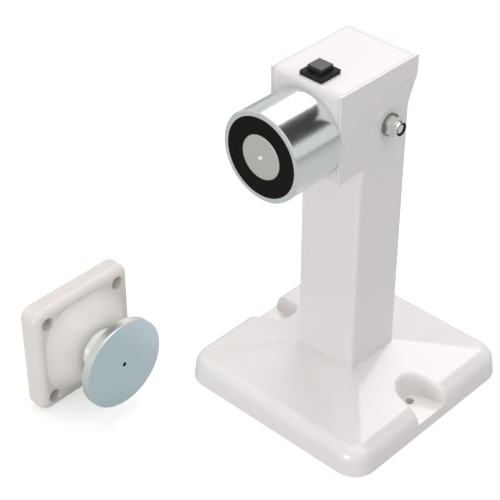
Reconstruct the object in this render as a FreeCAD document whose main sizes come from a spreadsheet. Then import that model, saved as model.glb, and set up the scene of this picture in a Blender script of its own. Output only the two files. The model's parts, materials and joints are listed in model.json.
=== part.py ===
import FreeCAD, Part
import math
import os
import re
import Sketcher
from FreeCAD import Vector

# Electromagnetic door holder: a magnet on a floor pedestal, and the swivel keeper that a door carries.
# Frame: +Z up, the magnet faces -Y, the origin is the middle of the pedestal's underside.
# Sizes are in millimetres and degrees.

doc = FreeCAD.newDocument("door_holder")
sheet = doc.addObject("Spreadsheet::Sheet", "Sizes")

SIZES = {
    # moulded foot
    "base_side": 131,
    "base_corner": 13.4,
    "base_height": 24.4,
    "base_wall": 3,
    "wall_draft": 6,
    "shoulder_height": 15.6,
    "shoulder_radius": 9,
    "hollow_drop": 4,
    "pocket_inset": 12.5,
    "pocket_radius": 8.5,
    "pocket_flare": 12,
    "pocket_floor": 6.8,
    "pocket_draft": 14,
    "pocket_rim": 2,
    "fixing_inset": 17,
    "fixing_hole": 5,
    "fixing_boss": 13,
    "rib_spacing": 40,
    "rib_thickness": 2,
    "rib_foot_gap": 1,
    # folded column
    "column_width": 40,
    "column_depth": 38,
    "column_bend": 2.5,
    "sheet": 1.5,
    # head of the column
    "head_top": 212,
    "head_height": 51.5,
    "head_width": 46.4,
    "front_overhang": 20.8,
    "rear_overhang": 2.5,
    "flare_drop": 11,
    "flare_height": 18,
    "cheek_blend": 12,
    "rear_lip": 4.5,
    "rear_round": 3,
    # folded cover
    "cover_gap": 0.2,
    "cover_bend": 3,
    "hem_bend": 2.6,
    "lug_width": 16,
    "lug_corner": 7,
    # fixing of the column on the foot
    "foot_plate_thickness": 4,
    "foot_plate_gap": 0.1,
    "foot_screw_x": 22,
    "foot_screw_y": 20,
    "foot_screw": 4,
    "foot_screw_head": 8,
    "foot_screw_head_height": 2.8,
    "foot_washer": 9.5,
    "foot_washer_thickness": 1,
    "cable_hole": 12,
    # cross bolt with its lock nut
    "bolt_y": 1,
    "bolt_drop": 33.5,
    "bolt": 6,
    "bolt_clearance": 0.3,
    "bolt_head_flats": 10,
    "bolt_head_height": 4,
    "bolt_end_drop": 0.6,
    "bolt_tip": 0.6,
    "hex_chamfer": 30,
    "seat_face": 21.4,
    "washer": 12.5,
    "washer_thickness": 1.6,
    "nut_flats": 10,
    "nut_height": 6.4,
    "nut_hex_height": 4.4,
    "nut_collar": 9.6,
    "collar_bevel": 0.8,
    "insert": 7.4,
    "insert_height": 1.8,
    "sleeve": 10,
    # pot magnet
    "magnet": 50,
    "magnet_length": 32.2,
    "magnet_drop": 29,
    "magnet_groove": 2.2,
    "magnet_groove_depth": 0.5,
    "pot_edge": 0.6,
    "pot_wall": 2.9,
    "pot_floor": 5,
    "pole": 24.4,
    "pole_dimple": 3,
    "pole_dimple_depth": 1.2,
    "resin_depth": 3,
    "resin_recess": 0.25,
    "bobbin_wall": 1,
    "nest_gap": 0.05,
    "winding_gap": 0.5,
    "stud": 8,
    "stud_reach": 15,
    "stud_flats": 13,
    "stud_head_height": 5.3,
    "stud_washer": 16,
    "stud_washer_thickness": 1.6,
    # push button
    "button_y": -29.2,
    "button_flange": 14.6,
    "button_flange_height": 2.2,
    "button_flange_corner": 0.4,
    "button_body": 11.8,
    "button_body_depth": 14,
    "button_panel_gap": 0.2,
    "button_cap": 9.2,
    "button_cap_corner": 0.4,
    "button_cap_edge": 0.3,
    "button_cap_top": 5.5,
    "button_cap_depth": 4,
    "button_gap": 0.2,
    "button_well": 8,
    "button_spring": 5.4,
    "button_wire": 0.6,
    "button_pitch": 0.85,
    "button_spring_gap": 0.075,
    "blade_width": 2,
    "blade_thickness": 0.6,
    "blade_length": 6,
    "blade_spacing": 6,
    # terminal block
    "block_width": 22,
    "block_depth": 12,
    "block_height": 10,
    "block_front_gap": 5,
    "block_pitch": 10,
    "block_wire_hole": 3.2,
    "block_screw": 4,
    "block_screw_length": 3.5,
    # keeper plate
    "keeper_x": -98.9,
    "keeper_y": -110,
    "keeper_side": 69,
    "keeper_thickness": 12,
    "keeper_corner": 6,
    "keeper_edge": 5,
    "keeper_pitch": 51.4,
    "keeper_hole": 4.5,
    "keeper_head_hole": 8.2,
    "keeper_head_depth": 8,
    "dome_side": 62,
    "dome_corner": 22,
    "dome_rise": 12.5,
    "dome_sink": 0.4,
    "dome_top": 14.4,
    "dome_top_corner": 14,
    # ball joint of the keeper
    "ball": 28,
    "ball_drop": 5,
    "lip_height": 2.2,
    "lip_gap": 0.38,
    "seat_gap": 0.3,
    "seat_wall": 1.4,
    "seat_front": 1,
    "seat_back": 9,
    "neck": 16,
    "retainer": 43.6,
    "retainer_thickness": 2.8,
    "retainer_step": 3,
    "retainer_gap": 0.2,
    "retainer_screw": 2.6,
    "retainer_screw_head": 4.6,
    "retainer_screw_head_height": 1.4,
    "retainer_screw_reach": 5,
    "retainer_screw_circle": 38,
    # armature disc
    "disc": 54.4,
    "disc_thickness": 5.2,
    "disc_edge": 0.6,
    "disc_stand_off": 31.8,
    "disc_hole": 2.4,
    "disc_stud": 8,
    "disc_stud_depth": 3,
    # how far a cutting shape runs past what it cuts
    "overrun": 5,
}

for row, (alias, number) in enumerate(SIZES.items(), 1):
    sheet.set(f"A{row}", alias)
    sheet.set(f"B{row}", str(number))
    sheet.setAlias(f"B{row}", alias)
doc.recompute()

# Places that several pieces share, written as formulas of the sizes above
HALF_WIDTH = "column_width / 2"
HALF_HEAD = "head_width / 2"
HEAD_BOTTOM = "(head_top - head_height)"
FLARE_END = "(head_top - flare_drop)"
FLARE_START = "(head_top - flare_drop - flare_height)"
BOLT_Z = "(head_top - bolt_drop)"
MAGNET_Z = "(head_top - magnet_drop)"
COLUMN_FRONT = "(-column_depth / 2)"
COLUMN_REAR = "(column_depth / 2)"
HEAD_FRONT = f"({COLUMN_FRONT} - front_overhang)"
HEAD_REAR = f"({COLUMN_REAR} + rear_overhang)"
CHEEK_SLOPE = f"(({HALF_HEAD} - {HALF_WIDTH}) / ({COLUMN_REAR} - {HEAD_FRONT}))"
LUG_FACE = f"({HALF_WIDTH} - sheet)"
INNER_BEND = "(column_bend - sheet)"
COVER_REAR = f"({HEAD_REAR} - rear_lip - cover_gap)"
POCKET_X = "(base_side / 2 - pocket_inset)"
FIXING_X = "(base_side / 2 - fixing_inset)"
PAD_UNDERSIDE = "(base_height - base_wall)"
WASHER_FACE = "(seat_face + washer_thickness)"
BUTTON_WELL_FLOOR = "(head_top - button_well)"
BALL_CENTRE = "(dome_rise - ball_drop)"
KEEPER_Z = "(keeper_side / 2)"
RETAINER_SEAT = "(retainer_step - keeper_thickness)"

nodes = []


def with_sheet(text):
    """A formula whose size names point into the sheet."""
    return re.sub(r"[a-z_]+", lambda found: f"Sizes.{found[0]}" if found[0] in SIZES else found[0], text)


def value(text):
    """A formula's number."""
    return float(sheet.evalExpression(with_sheet(text)))


def bind(item, setting, text):
    item.setExpression(setting, with_sheet(text))


def place(item, x="0", y="0", z="0", axis=(0, 0, 1), angle="0"):
    """Turns an item about an axis, then moves it."""
    item.Placement = FreeCAD.Placement(Vector(), FreeCAD.Rotation(Vector(*axis), value(angle)))
    bind(item, "Placement.Rotation.Angle", angle)
    for letter, text in zip("xyz", (x, y, z)):
        bind(item, f"Placement.Base.{letter}", text)
    return item


def node(item, label):
    """Names a finished sub-part."""
    item.Label = label
    nodes.append(item)
    return item


def new_body(name):
    return doc.addObject("PartDesign::Body", name)


def new_sketch(body, plane, offset):
    sketch = body.newObject("Sketcher::SketchObject", body.Name + "_sketch")
    sketch.AttachmentSupport = [(origin_feature(body, plane), "")]
    sketch.MapMode = "FlatFace"
    bind(sketch, "AttachmentOffset.Base.z", offset)
    return sketch


def origin_feature(body, role):
    return next(item for item in body.Origin.OriginFeatures if item.Role == role)


def pin(sketch, geometry, point, u, v):
    """Holds a point of a sketch at two formulas."""
    for kind, text in (("DistanceX", u), ("DistanceY", v)):
        held = sketch.addConstraint(Sketcher.Constraint(kind, -1, 1, geometry, point, value(text)))
        bind(sketch, f"Constraints[{held}]", text)


def circle(body, plane, radius, u="0", v="0", offset="0"):
    sketch = new_sketch(body, plane, offset)
    ring = sketch.addGeometry(Part.Circle(Vector(value(u), value(v), 0), Vector(0, 0, 1), value(radius)))
    held = sketch.addConstraint(Sketcher.Constraint("Radius", ring, value(radius)))
    bind(sketch, f"Constraints[{held}]", radius)
    pin(sketch, ring, 3, u, v)
    return sketch


def outline(body, plane, corners, offset="0"):
    """A closed outline from corners (u, v) or (u, v, bend radius), listed anticlockwise."""
    sketch = new_sketch(body, plane, offset)
    points = [Vector(value(corner[0]), value(corner[1]), 0) for corner in corners]
    radii = [value(corner[2]) if len(corner) > 2 else 0 for corner in corners]
    count = len(points)
    ends = []
    middles = []
    for i, point in enumerate(points):
        back = (points[i - 1] - point).normalize()
        ahead = (points[(i + 1) % count] - point).normalize()
        half_turn = back.getAngle(ahead) / 2
        reach = radii[i] / math.tan(half_turn)
        ends.append((point + back * reach, point + ahead * reach))
        middles.append(point + (back + ahead).normalize() * (radii[i] / math.sin(half_turn)))
    lines = [sketch.addGeometry(Part.LineSegment(ends[i][1], ends[(i + 1) % count][0])) for i in range(count)]
    for i, corner in enumerate(corners):
        before, after = lines[i - 1], lines[i]
        if radii[i] == 0:
            sketch.addConstraint(Sketcher.Constraint("Coincident", before, 2, after, 1))
            pin(sketch, after, 1, corner[0], corner[1])
            continue
        turn = (points[i] - points[i - 1]).cross(points[(i + 1) % count] - points[i]).z
        first, last = (1, 2) if turn > 0 else (2, 1)
        start, stop = ends[i] if turn > 0 else ends[i][::-1]
        angles = [math.atan2((end - middles[i]).y, (end - middles[i]).x) for end in (start, stop)]
        if angles[1] < angles[0]:
            angles[1] += 2 * math.pi
        ring = Part.Circle(middles[i], Vector(0, 0, 1), radii[i])
        arc = sketch.addGeometry(Part.ArcOfCircle(ring, *angles))
        sketch.addConstraint(Sketcher.Constraint("Tangent", before, 2, arc, first))
        sketch.addConstraint(Sketcher.Constraint("Tangent", arc, last, after, 1))
        held = sketch.addConstraint(Sketcher.Constraint("Radius", arc, radii[i]))
        bind(sketch, f"Constraints[{held}]", corner[2])
        tip = sketch.addGeometry(Part.Point(points[i]), True)
        sketch.addConstraint(Sketcher.Constraint("PointOnObject", tip, 1, before))
        sketch.addConstraint(Sketcher.Constraint("PointOnObject", tip, 1, after))
        pin(sketch, tip, 1, corner[0], corner[1])
    return sketch


def rectangle(half_u, half_v, radius=None, u="0", v="0"):
    """The corners of a rectangle about a point."""
    bend = (radius,) if radius else ()
    signs = ((-1, -1), (1, -1), (1, 1), (-1, 1))
    return [(f"{u} + ({a}) * ({half_u})", f"{v} + ({b}) * ({half_v})") + bend for a, b in signs]


def hexagon(flats):
    """The corners of a hexagon, two of them on the first axis."""
    tip = f"{flats} / sqrt(3)"
    return [(f"{tip} * cos({turn})", f"{tip} * sin({turn})") for turn in range(0, 360, 60)]


def feature(body, kind, sketch, **settings):
    item = body.newObject("PartDesign::" + kind, body.Name + "_" + kind.lower())
    item.Profile = sketch
    for setting, given in settings.items():
        if isinstance(given, str) and setting not in ("Type", "SideType"):
            bind(item, setting, given)
        else:
            setattr(item, setting, given)
    return item


def pad(body, sketch, length, **settings):
    return feature(body, "Pad", sketch, Length=length, **settings)


def pocket(body, sketch, length, **settings):
    return feature(body, "Pocket", sketch, Length=length, **settings)


def turned(body, sketch, kind="Revolution"):
    """A full turn of a half profile about the upright axis of its sketch."""
    return feature(body, kind, sketch, ReferenceAxis=(sketch, ["V_Axis"]), Angle=360.0)


def loft(body, kind, sketches, ruled=True):
    return feature(body, kind, sketches[0], Sections=sketches[1:], Ruled=ruled)


def rounded(body, base, chosen, radius):
    """Rounds those edges of a feature that a test picks."""
    doc.recompute()
    names = [f"Edge{i}" for i, edge in enumerate(base.Shape.Edges, 1) if chosen(edge)]
    item = body.newObject("PartDesign::Fillet", body.Name + "_fillet")
    item.Base = (base, names)
    bind(item, "Radius", radius)
    return item


def level(height):
    """A test for edges that lie flat at a height."""
    number = value(height)
    return lambda edge: abs(edge.BoundBox.ZMin - number) < 1e-4 and abs(edge.BoundBox.ZMax - number) < 1e-4


def box(name, length, width, height, x, y, z):
    item = doc.addObject("Part::Box", name)
    for setting, text in (("Length", length), ("Width", width), ("Height", height)):
        bind(item, setting, text)
    return place(item, x, y, z)


def cylinder(name, diameter, height, x="0", y="0", z="0", axis=(0, 0, 1), angle="0"):
    item = doc.addObject("Part::Cylinder", name)
    bind(item, "Radius", f"({diameter}) / 2")
    bind(item, "Height", height)
    return place(item, x, y, z, axis, angle)


def joined(name, items):
    item = doc.addObject("Part::MultiFuse", name)
    item.Shapes = items
    return item


def cut(name, base, tool):
    item = doc.addObject("Part::Cut", name)
    item.Base = base
    item.Tool = tool
    return item


def common(name, items):
    item = doc.addObject("Part::MultiCommon", name)
    item.Shapes = items
    return item


def group(name, items):
    item = doc.addObject("Part::Compound", name)
    item.Links = items
    return item


# Moulded foot: a rounded square wall, a shallow pyramid and a soft shoulder between them.
# Its underside is hollow: the hollow leaves out the screw pockets, their bosses and the ribs.
def make_base():
    outer = new_body("base_outer")
    half = "base_side / 2"
    seat = rectangle(HALF_WIDTH, "column_depth / 2", "column_bend")
    wall = outline(outer, "XY_Plane", foot_outline("0", "0"))
    pad(outer, wall, "shoulder_height", TaperAngle="-wall_draft")
    slope = loft(outer, "AdditiveLoft", [
        outline(outer, "XY_Plane", foot_outline("0", "shoulder_height"), "shoulder_height"),
        outline(outer, "XY_Plane", seat, "base_height")])
    rounded(outer, slope, level("shoulder_height"), "shoulder_radius")

    hollow = new_body("base_hollow")
    step = "(shoulder_height - hollow_drop)"
    roof = rectangle(f"{HALF_WIDTH} + base_wall", "column_depth / 2 + base_wall", "column_bend + base_wall")
    loft(hollow, "AdditiveLoft", [
        outline(hollow, "XY_Plane", foot_outline("base_wall", "0")),
        outline(hollow, "XY_Plane", foot_outline("base_wall", step), step),
        outline(hollow, "XY_Plane", roof, PAD_UNDERSIDE)])

    kept = []
    notches = []
    holes = []
    low_radius = "pocket_radius - (pocket_floor + overrun) * tan(pocket_draft)"
    notch_height = "base_height + overrun * 2"
    for side, name in ((1, "right"), (-1, "left")):
        turn = "0" if side > 0 else "180"
        housing = new_body(f"{name}_pocket_housing")
        shell = pocket_outline(housing, "pocket_radius + base_wall", "pocket_floor - base_wall")
        pad(housing, shell, "base_height", TaperAngle="pocket_draft")
        kept.append(place(housing, angle=turn))
        kept.append(cylinder(f"{name}_fixing_boss", "fixing_boss", "base_height", f"{side} * {FIXING_X}"))
        notch = new_body(f"{name}_notch")
        pad(notch, pocket_outline(notch, low_radius, "-overrun"), notch_height, TaperAngle="pocket_draft")
        notches.append(place(notch, angle=turn))
        x = f"{side} * {FIXING_X}"
        holes.append(cylinder(f"{name}_fixing_hole", "fixing_hole", "base_height", x, z="-overrun"))
    length, thickness, height, foot = "base_side", "rib_thickness", "base_height", "rib_foot_gap"
    for side in (1, -1):
        start = f"{side} * rib_spacing / 2 - rib_thickness / 2"
        kept.append(box("rib_along", length, thickness, height, f"-{half}", start, foot))
        kept.append(box("rib_across", thickness, length, height, start, f"-{half}", foot))
    screw_way = "foot_screw + bolt_clearance * 2"
    for x, y in foot_screw_places():
        holes.append(cylinder("foot_screw_hole", screw_way, "base_height", x, y, "base_wall"))
    holes.append(cylinder("base_cable_hole", "cable_hole", "base_height + overrun", z="base_wall"))

    lower = box("below_pockets", length, length, "pocket_floor", f"-{half}", f"-{half}", "0")
    upper = box("above_pockets", length, length, "base_height", f"-{half}", f"-{half}", "pocket_floor")
    notched = cut("base_notched", common("base_upper", [outer, upper]), joined("base_notches", notches))
    doc.recompute()
    on_rim = pocket_rim_test()
    rims = doc.addObject("Part::Fillet", "base_rims")
    rims.Base = notched
    radius = value("pocket_rim")
    rims.Edges = [(i, radius, radius) for i, edge in enumerate(notched.Shape.Edges, 1) if on_rim(edge)]
    whole = joined("base_whole", [rims, common("base_lower", [outer, lower])])
    open_underside = cut("base_underside", hollow, joined("base_kept", kept))
    return node(cut("base", whole, joined("base_openings", [open_underside] + holes)), "base_moulding")


def foot_outline(inset, height):
    """The foot's rounded square at a height, with the draft of its wall, drawn in by an inset."""
    drawn = f"({inset} + {height} * tan(wall_draft))"
    half = f"(base_side / 2 - {drawn})"
    return rectangle(half, half, f"(base_corner - {drawn})")


def pocket_rim_test():
    """A test for edges where a pocket breaks the top or the side of the foot."""
    reach, middle, floor = value("pocket_radius * 2"), value(POCKET_X), value("pocket_floor")
    side, shoulder = value("base_side / 2"), value("shoulder_height")
    round_drop = value("shoulder_radius / 3")
    slope = value(f"(base_height - shoulder_height) / (base_side / 2 - {HALF_WIDTH})")

    def chosen(edge):
        point = edge.valueAt((edge.FirstParameter + edge.LastParameter) / 2)
        skin = shoulder + (side - abs(point.x)) * slope
        near = abs(point.y) < reach and abs(point.x) > middle - reach
        return near and point.z > floor + 1e-4 and point.z > skin - round_drop
    return chosen


def pocket_outline(body, radius, floor):
    """A round end about the pocket's middle, with sides that spread until they are past the foot."""
    sketch = new_sketch(body, "XY_Plane", floor)
    far_x = "(base_side / 2 + overrun)"
    far_y = f"(({radius}) / cos(pocket_flare) + (pocket_inset + overrun) * tan(pocket_flare))"
    far, wide, middle, reach = value(far_x), value(far_y), value(POCKET_X), value(radius)
    flare = math.radians(value("pocket_flare"))
    touch = Vector(middle - reach * math.sin(flare), reach * math.cos(flare), 0)
    corners = [Vector(touch.x, -touch.y, 0), Vector(far, -wide, 0), Vector(far, wide, 0), touch]
    lines = [sketch.addGeometry(Part.LineSegment(*pair)) for pair in zip(corners, corners[1:])]
    ring = Part.Circle(Vector(middle, 0, 0), Vector(0, 0, 1), reach)
    arc = sketch.addGeometry(Part.ArcOfCircle(ring, math.pi / 2 + flare, math.pi * 3 / 2 - flare))
    for before, after in zip(lines, lines[1:]):
        sketch.addConstraint(Sketcher.Constraint("Coincident", before, 2, after, 1))
    sketch.addConstraint(Sketcher.Constraint("Tangent", lines[2], 2, arc, 1))
    sketch.addConstraint(Sketcher.Constraint("Tangent", arc, 2, lines[0], 1))
    held = sketch.addConstraint(Sketcher.Constraint("Radius", arc, reach))
    bind(sketch, f"Constraints[{held}]", radius)
    pin(sketch, arc, 3, POCKET_X, "0")
    pin(sketch, lines[1], 1, far_x, f"-{far_y}")
    pin(sketch, lines[1], 2, far_x, far_y)
    return sketch


def foot_screw_places():
    return [(f"{a} * foot_screw_x / 2", f"{b} * foot_screw_y / 2") for a in (1, -1) for b in (1, -1)]


# Column and head: one folded shell. The cheeks of the head stand wider than the column at the front,
# run into the column's side at the rear, and spread at the rear only above the flare.
def head_sections(body, inset, bend, front, rear_inset, bottom, top):
    """Four levels of the head, drawn in by an inset and run forward to a front line."""
    widen = f"{CHEEK_SLOPE} * ({HEAD_FRONT} - ({front}))"
    sections = []
    levels = ((bottom, HALF_WIDTH, COLUMN_REAR), (FLARE_START, HALF_WIDTH, COLUMN_REAR),
              (FLARE_END, HALF_HEAD, HEAD_REAR), (top, HALF_HEAD, HEAD_REAR))
    for height, rear_half, rear in levels:
        spread = widen if rear_half == HALF_WIDTH else "0"
        wide = f"({HALF_HEAD} + {spread} - ({inset}))"
        narrow = f"({rear_half} - ({inset}))"
        back = f"({rear} - ({rear_inset}))"
        corners = [(f"-{wide}", front), (wide, front), (narrow, back, bend), (f"-{narrow}", back, bend)]
        sections.append(outline(body, "XY_Plane", corners, height))
    return sections


def make_column():
    body = new_body("column")
    section = rectangle(HALF_WIDTH, "column_depth / 2", "column_bend")
    low = f"({HEAD_BOTTOM} - cheek_blend)"
    length = f"{HEAD_BOTTOM} - base_height"
    pad(body, outline(body, "XY_Plane", section, "base_height"), length)
    shoulder = f"({HALF_WIDTH} + {CHEEK_SLOPE} * column_depth)"
    widened = [(f"-{shoulder}", COLUMN_FRONT, "column_bend"), (shoulder, COLUMN_FRONT, "column_bend"),
               (HALF_WIDTH, COLUMN_REAR, "column_bend"), (f"-({HALF_WIDTH})", COLUMN_REAR, "column_bend")]
    loft(body, "AdditiveLoft", [
        outline(body, "XY_Plane", section, low),
        outline(body, "XY_Plane", widened, HEAD_BOTTOM)])
    sections = head_sections(body, "0", "column_bend", HEAD_FRONT, "0", HEAD_BOTTOM, "head_top")
    loft(body, "AdditiveLoft", sections)
    for side in (1, -1):
        seat = circle(body, "YZ_Plane", "washer / 2", "bolt_y", BOLT_Z, f"{side} * {LUG_FACE}")
        pad(body, seat, f"seat_face - {LUG_FACE}", Reversed=side < 0)
    bore = rectangle(f"{HALF_WIDTH} - sheet", "column_depth / 2 - sheet", INNER_BEND)
    pocket(body, outline(body, "XY_Plane", bore, "base_height"), length, Reversed=True)
    before_front = f"({HEAD_FRONT} - overrun)"
    space = head_sections(body, "sheet", INNER_BEND, before_front, "sheet", HEAD_BOTTOM, "head_top - sheet")
    loft(body, "SubtractiveLoft", space)
    half_opening, lip_edge = f"({HALF_HEAD} - sheet)", f"{HEAD_REAR} - rear_lip"
    opening = [(f"-{half_opening}", before_front), (half_opening, before_front),
               (half_opening, lip_edge), (f"-{half_opening}", lip_edge)]
    pocket(body, outline(body, "XY_Plane", opening, "head_top"), "sheet + overrun / 2")
    for side in (1, -1):
        seat = circle(body, "YZ_Plane", "washer / 2", "bolt_y", BOLT_Z, f"{side} * {LUG_FACE}")
        pad(body, seat, "sheet", Reversed=side < 0)
    start, stop = f"{HEAD_REAR} - rear_round * 2", f"{HEAD_REAR} + overrun"
    corner = [(HEAD_REAR, "head_top - rear_round * 2"), (stop, "head_top - rear_round * 2"),
              (stop, "head_top + overrun"), (start, "head_top + overrun"),
              (start, "head_top"), (HEAD_REAR, "head_top", "rear_round")]
    pocket(body, outline(body, "YZ_Plane", corner), "head_width + overrun", Midplane=True)
    hole = circle(body, "YZ_Plane", "bolt / 2 + bolt_clearance", "bolt_y", BOLT_Z)
    pocket(body, hole, "head_width + overrun", Midplane=True)
    return node(body, "column_shell")


# Folded cover: top, front and underside of the head in one strip, with two lugs for the cross bolt
def make_cover():
    strip = new_body("cover_strip")
    flange_end = f"({COLUMN_FRONT} + sheet)"
    inner = f"({HEAD_FRONT} + sheet)"
    section = [(HEAD_FRONT, HEAD_BOTTOM, "hem_bend"), (flange_end, HEAD_BOTTOM),
               (flange_end, f"{HEAD_BOTTOM} + sheet"), (inner, f"{HEAD_BOTTOM} + sheet", "hem_bend - sheet"),
               (inner, "head_top - sheet", "cover_bend - sheet"), (COVER_REAR, "head_top - sheet"),
               (COVER_REAR, "head_top"), (HEAD_FRONT, "head_top", "cover_bend")]
    pad(strip, outline(strip, "YZ_Plane", section), "head_width", Midplane=True)
    start, stop, foot = "bolt_y - lug_width / 2", "bolt_y + lug_width / 2", f"{BOLT_Z} - lug_width / 2"
    lug = [(start, foot, "lug_corner"), (stop, foot, "lug_corner"),
           (stop, "head_top - sheet / 2"), (start, "head_top - sheet / 2")]
    for side in (1, -1):
        pad(strip, outline(strip, "YZ_Plane", lug, f"{side} * {LUG_FACE}"), "sheet", Reversed=side > 0)
    bolt_hole = circle(strip, "YZ_Plane", "bolt / 2 + bolt_clearance", "bolt_y", BOLT_Z)
    pocket(strip, bolt_hole, "head_width", Midplane=True)
    before_front = f"-{HEAD_FRONT} + overrun / 2"
    stud_hole = circle(strip, "XZ_Plane", "stud / 2 + bolt_clearance", "0", MAGNET_Z, before_front)
    pocket(strip, stud_hole, "overrun")
    half_window = "button_body / 2 + button_panel_gap"
    window = rectangle(half_window, half_window, None, "0", "button_y")
    pocket(strip, outline(strip, "XY_Plane", window, "head_top"), "overrun")

    room = new_body("cover_room")
    inset = "(sheet + cover_gap)"
    sections = head_sections(room, inset, INNER_BEND, HEAD_FRONT, "rear_lip", HEAD_BOTTOM, "head_top")
    loft(room, "AdditiveLoft", sections)
    return node(common("cover", [strip, room]), "head_cover")


# Plate in the column's foot, and the four screws that hold it from below
def make_foot_fixing():
    body = new_body("plate")
    inset = "sheet - foot_plate_gap"
    sides = rectangle(f"{HALF_WIDTH} - {inset}", f"column_depth / 2 - {inset}", INNER_BEND)
    pad(body, outline(body, "XY_Plane", sides, "base_height"), "foot_plate_thickness")
    cable_way = circle(body, "XY_Plane", "cable_hole / 2", offset="base_height")
    pocket(body, cable_way, "foot_plate_thickness", Reversed=True)
    for x, y in foot_screw_places():
        tapped = circle(body, "XY_Plane", "foot_screw / 2 + nest_gap", x, y, "base_height")
        pocket(body, tapped, "foot_plate_thickness", Reversed=True)
    node(body, "foot_plate")

    screws = []
    washers = []
    seat = f"({PAD_UNDERSIDE} - foot_washer_thickness)"
    length = f"base_height + foot_plate_thickness - {seat}"
    for x, y in foot_screw_places():
        head = cylinder("foot_screw_head", "foot_screw_head", "foot_screw_head_height", x, y,
                        f"{seat} - foot_screw_head_height")
        shank = cylinder("foot_screw_shank", "foot_screw", length, x, y, seat)
        screws.append(joined("foot_screw", [head, shank]))
        disc = cylinder("foot_washer_disc", "foot_washer", "foot_washer_thickness", x, y, seat)
        eye = cylinder("foot_washer_eye", "foot_screw + nest_gap * 2", "foot_washer_thickness", x, y, seat)
        washers.append(cut("foot_washer", disc, eye))
    node(group("screws_of_foot", screws), "foot_screws")
    node(group("washers_of_foot", washers), "foot_washers")


# Cross bolt, its washers, lock nut and sleeve. They are drawn upright and laid along +X.
def across(item):
    return place(item, y="bolt_y", z=BOLT_Z, axis=(0, 1, 0), angle="90")


def chamfer_hexagon(body, flats, face, side):
    """Turns the corners of a hexagon off at a face. The side is 1 where the hexagon lies below the face."""
    drop = f"{side} * {flats} / 2 * tan(hex_chamfer)"
    corners = [(f"{flats} / 2", face), (flats, f"{face} - {drop}"), (flats, face)]
    turned(body, outline(body, "XZ_Plane", corners if side > 0 else corners[::-1]), "Groove")


def bevel_end(body, size, bevel, face):
    """Bevels the rim of a round end by 45 degrees. The body lies below the face."""
    corners = [(f"{size} / 2 - {bevel}", face), (size, f"{face} - {size} / 2 - {bevel}"), (size, face)]
    turned(body, outline(body, "XZ_Plane", corners), "Groove")


def make_cross_bolt():
    bolt = new_body("bolt_of_head")
    reach = f"({WASHER_FACE} + nut_height - bolt_end_drop)"
    pad(bolt, circle(bolt, "XY_Plane", "bolt / 2", offset=f"-{WASHER_FACE}"), f"{WASHER_FACE} + {reach}")
    bevel_end(bolt, "bolt", "bolt_tip", reach)
    head = outline(bolt, "XY_Plane", hexagon("bolt_head_flats"), f"-{WASHER_FACE}")
    pad(bolt, head, "bolt_head_height", Reversed=True)
    chamfer_hexagon(bolt, "bolt_head_flats", f"(-{WASHER_FACE} - bolt_head_height)", -1)
    node(across(bolt), "cross_bolt")

    washers = []
    for low in ("seat_face", f"-{WASHER_FACE}"):
        rings = []
        for part, size in (("disc", "washer"), ("eye", "bolt + bolt_clearance * 2")):
            ring = cylinder(f"washer_{part}", size, "washer_thickness")
            rings.append(place(ring, low, "bolt_y", BOLT_Z, (0, 1, 0), "90"))
        washers.append(cut("washer_of_bolt", *rings))
    node(group("washers_of_bolt", washers), "cross_bolt_washers")

    nut = new_body("nut")
    pad(nut, outline(nut, "XY_Plane", hexagon("nut_flats"), WASHER_FACE), "nut_hex_height")
    chamfer_hexagon(nut, "nut_flats", f"({WASHER_FACE} + nut_hex_height)", 1)
    pad(nut, circle(nut, "XY_Plane", "nut_collar / 2", offset=WASHER_FACE), "nut_height")
    bevel_end(nut, "nut_collar", "collar_bevel", f"({WASHER_FACE} + nut_height)")
    thread = circle(nut, "XY_Plane", "bolt / 2 + nest_gap", offset=WASHER_FACE)
    pocket(nut, thread, "nut_height", Reversed=True)
    insert_seat = f"({WASHER_FACE} + nut_height - insert_height)"
    pocket(nut, circle(nut, "XY_Plane", "insert / 2", offset=insert_seat), "insert_height", Reversed=True)
    node(across(nut), "lock_nut")

    insert = new_body("insert_of_nut")
    pad(insert, circle(insert, "XY_Plane", "insert / 2 - nest_gap", offset=insert_seat), "insert_height")
    eye = circle(insert, "XY_Plane", "bolt / 2 + nest_gap", offset=insert_seat)
    pocket(insert, eye, "insert_height", Reversed=True)
    node(across(insert), "lock_nut_insert")

    sleeve = new_body("sleeve_of_bolt")
    length = f"({LUG_FACE} - sheet) * 2"
    pad(sleeve, circle(sleeve, "XY_Plane", "sleeve / 2"), length, Midplane=True)
    pocket(sleeve, circle(sleeve, "XY_Plane", "bolt / 2 + bolt_clearance"), length, Midplane=True)
    node(across(sleeve), "spacer_sleeve")


# Pot magnet and its bolt. They are drawn upright from the head's front and laid along -Y.
def forward(item):
    return place(item, y=HEAD_FRONT, z=MAGNET_Z, axis=(1, 0, 0), angle="90")


def ring_profile(body, inner, outer, low, high):
    corners = [(inner, low), (outer, low), (outer, high), (inner, high)]
    return turned(body, outline(body, "XZ_Plane", corners))


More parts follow.
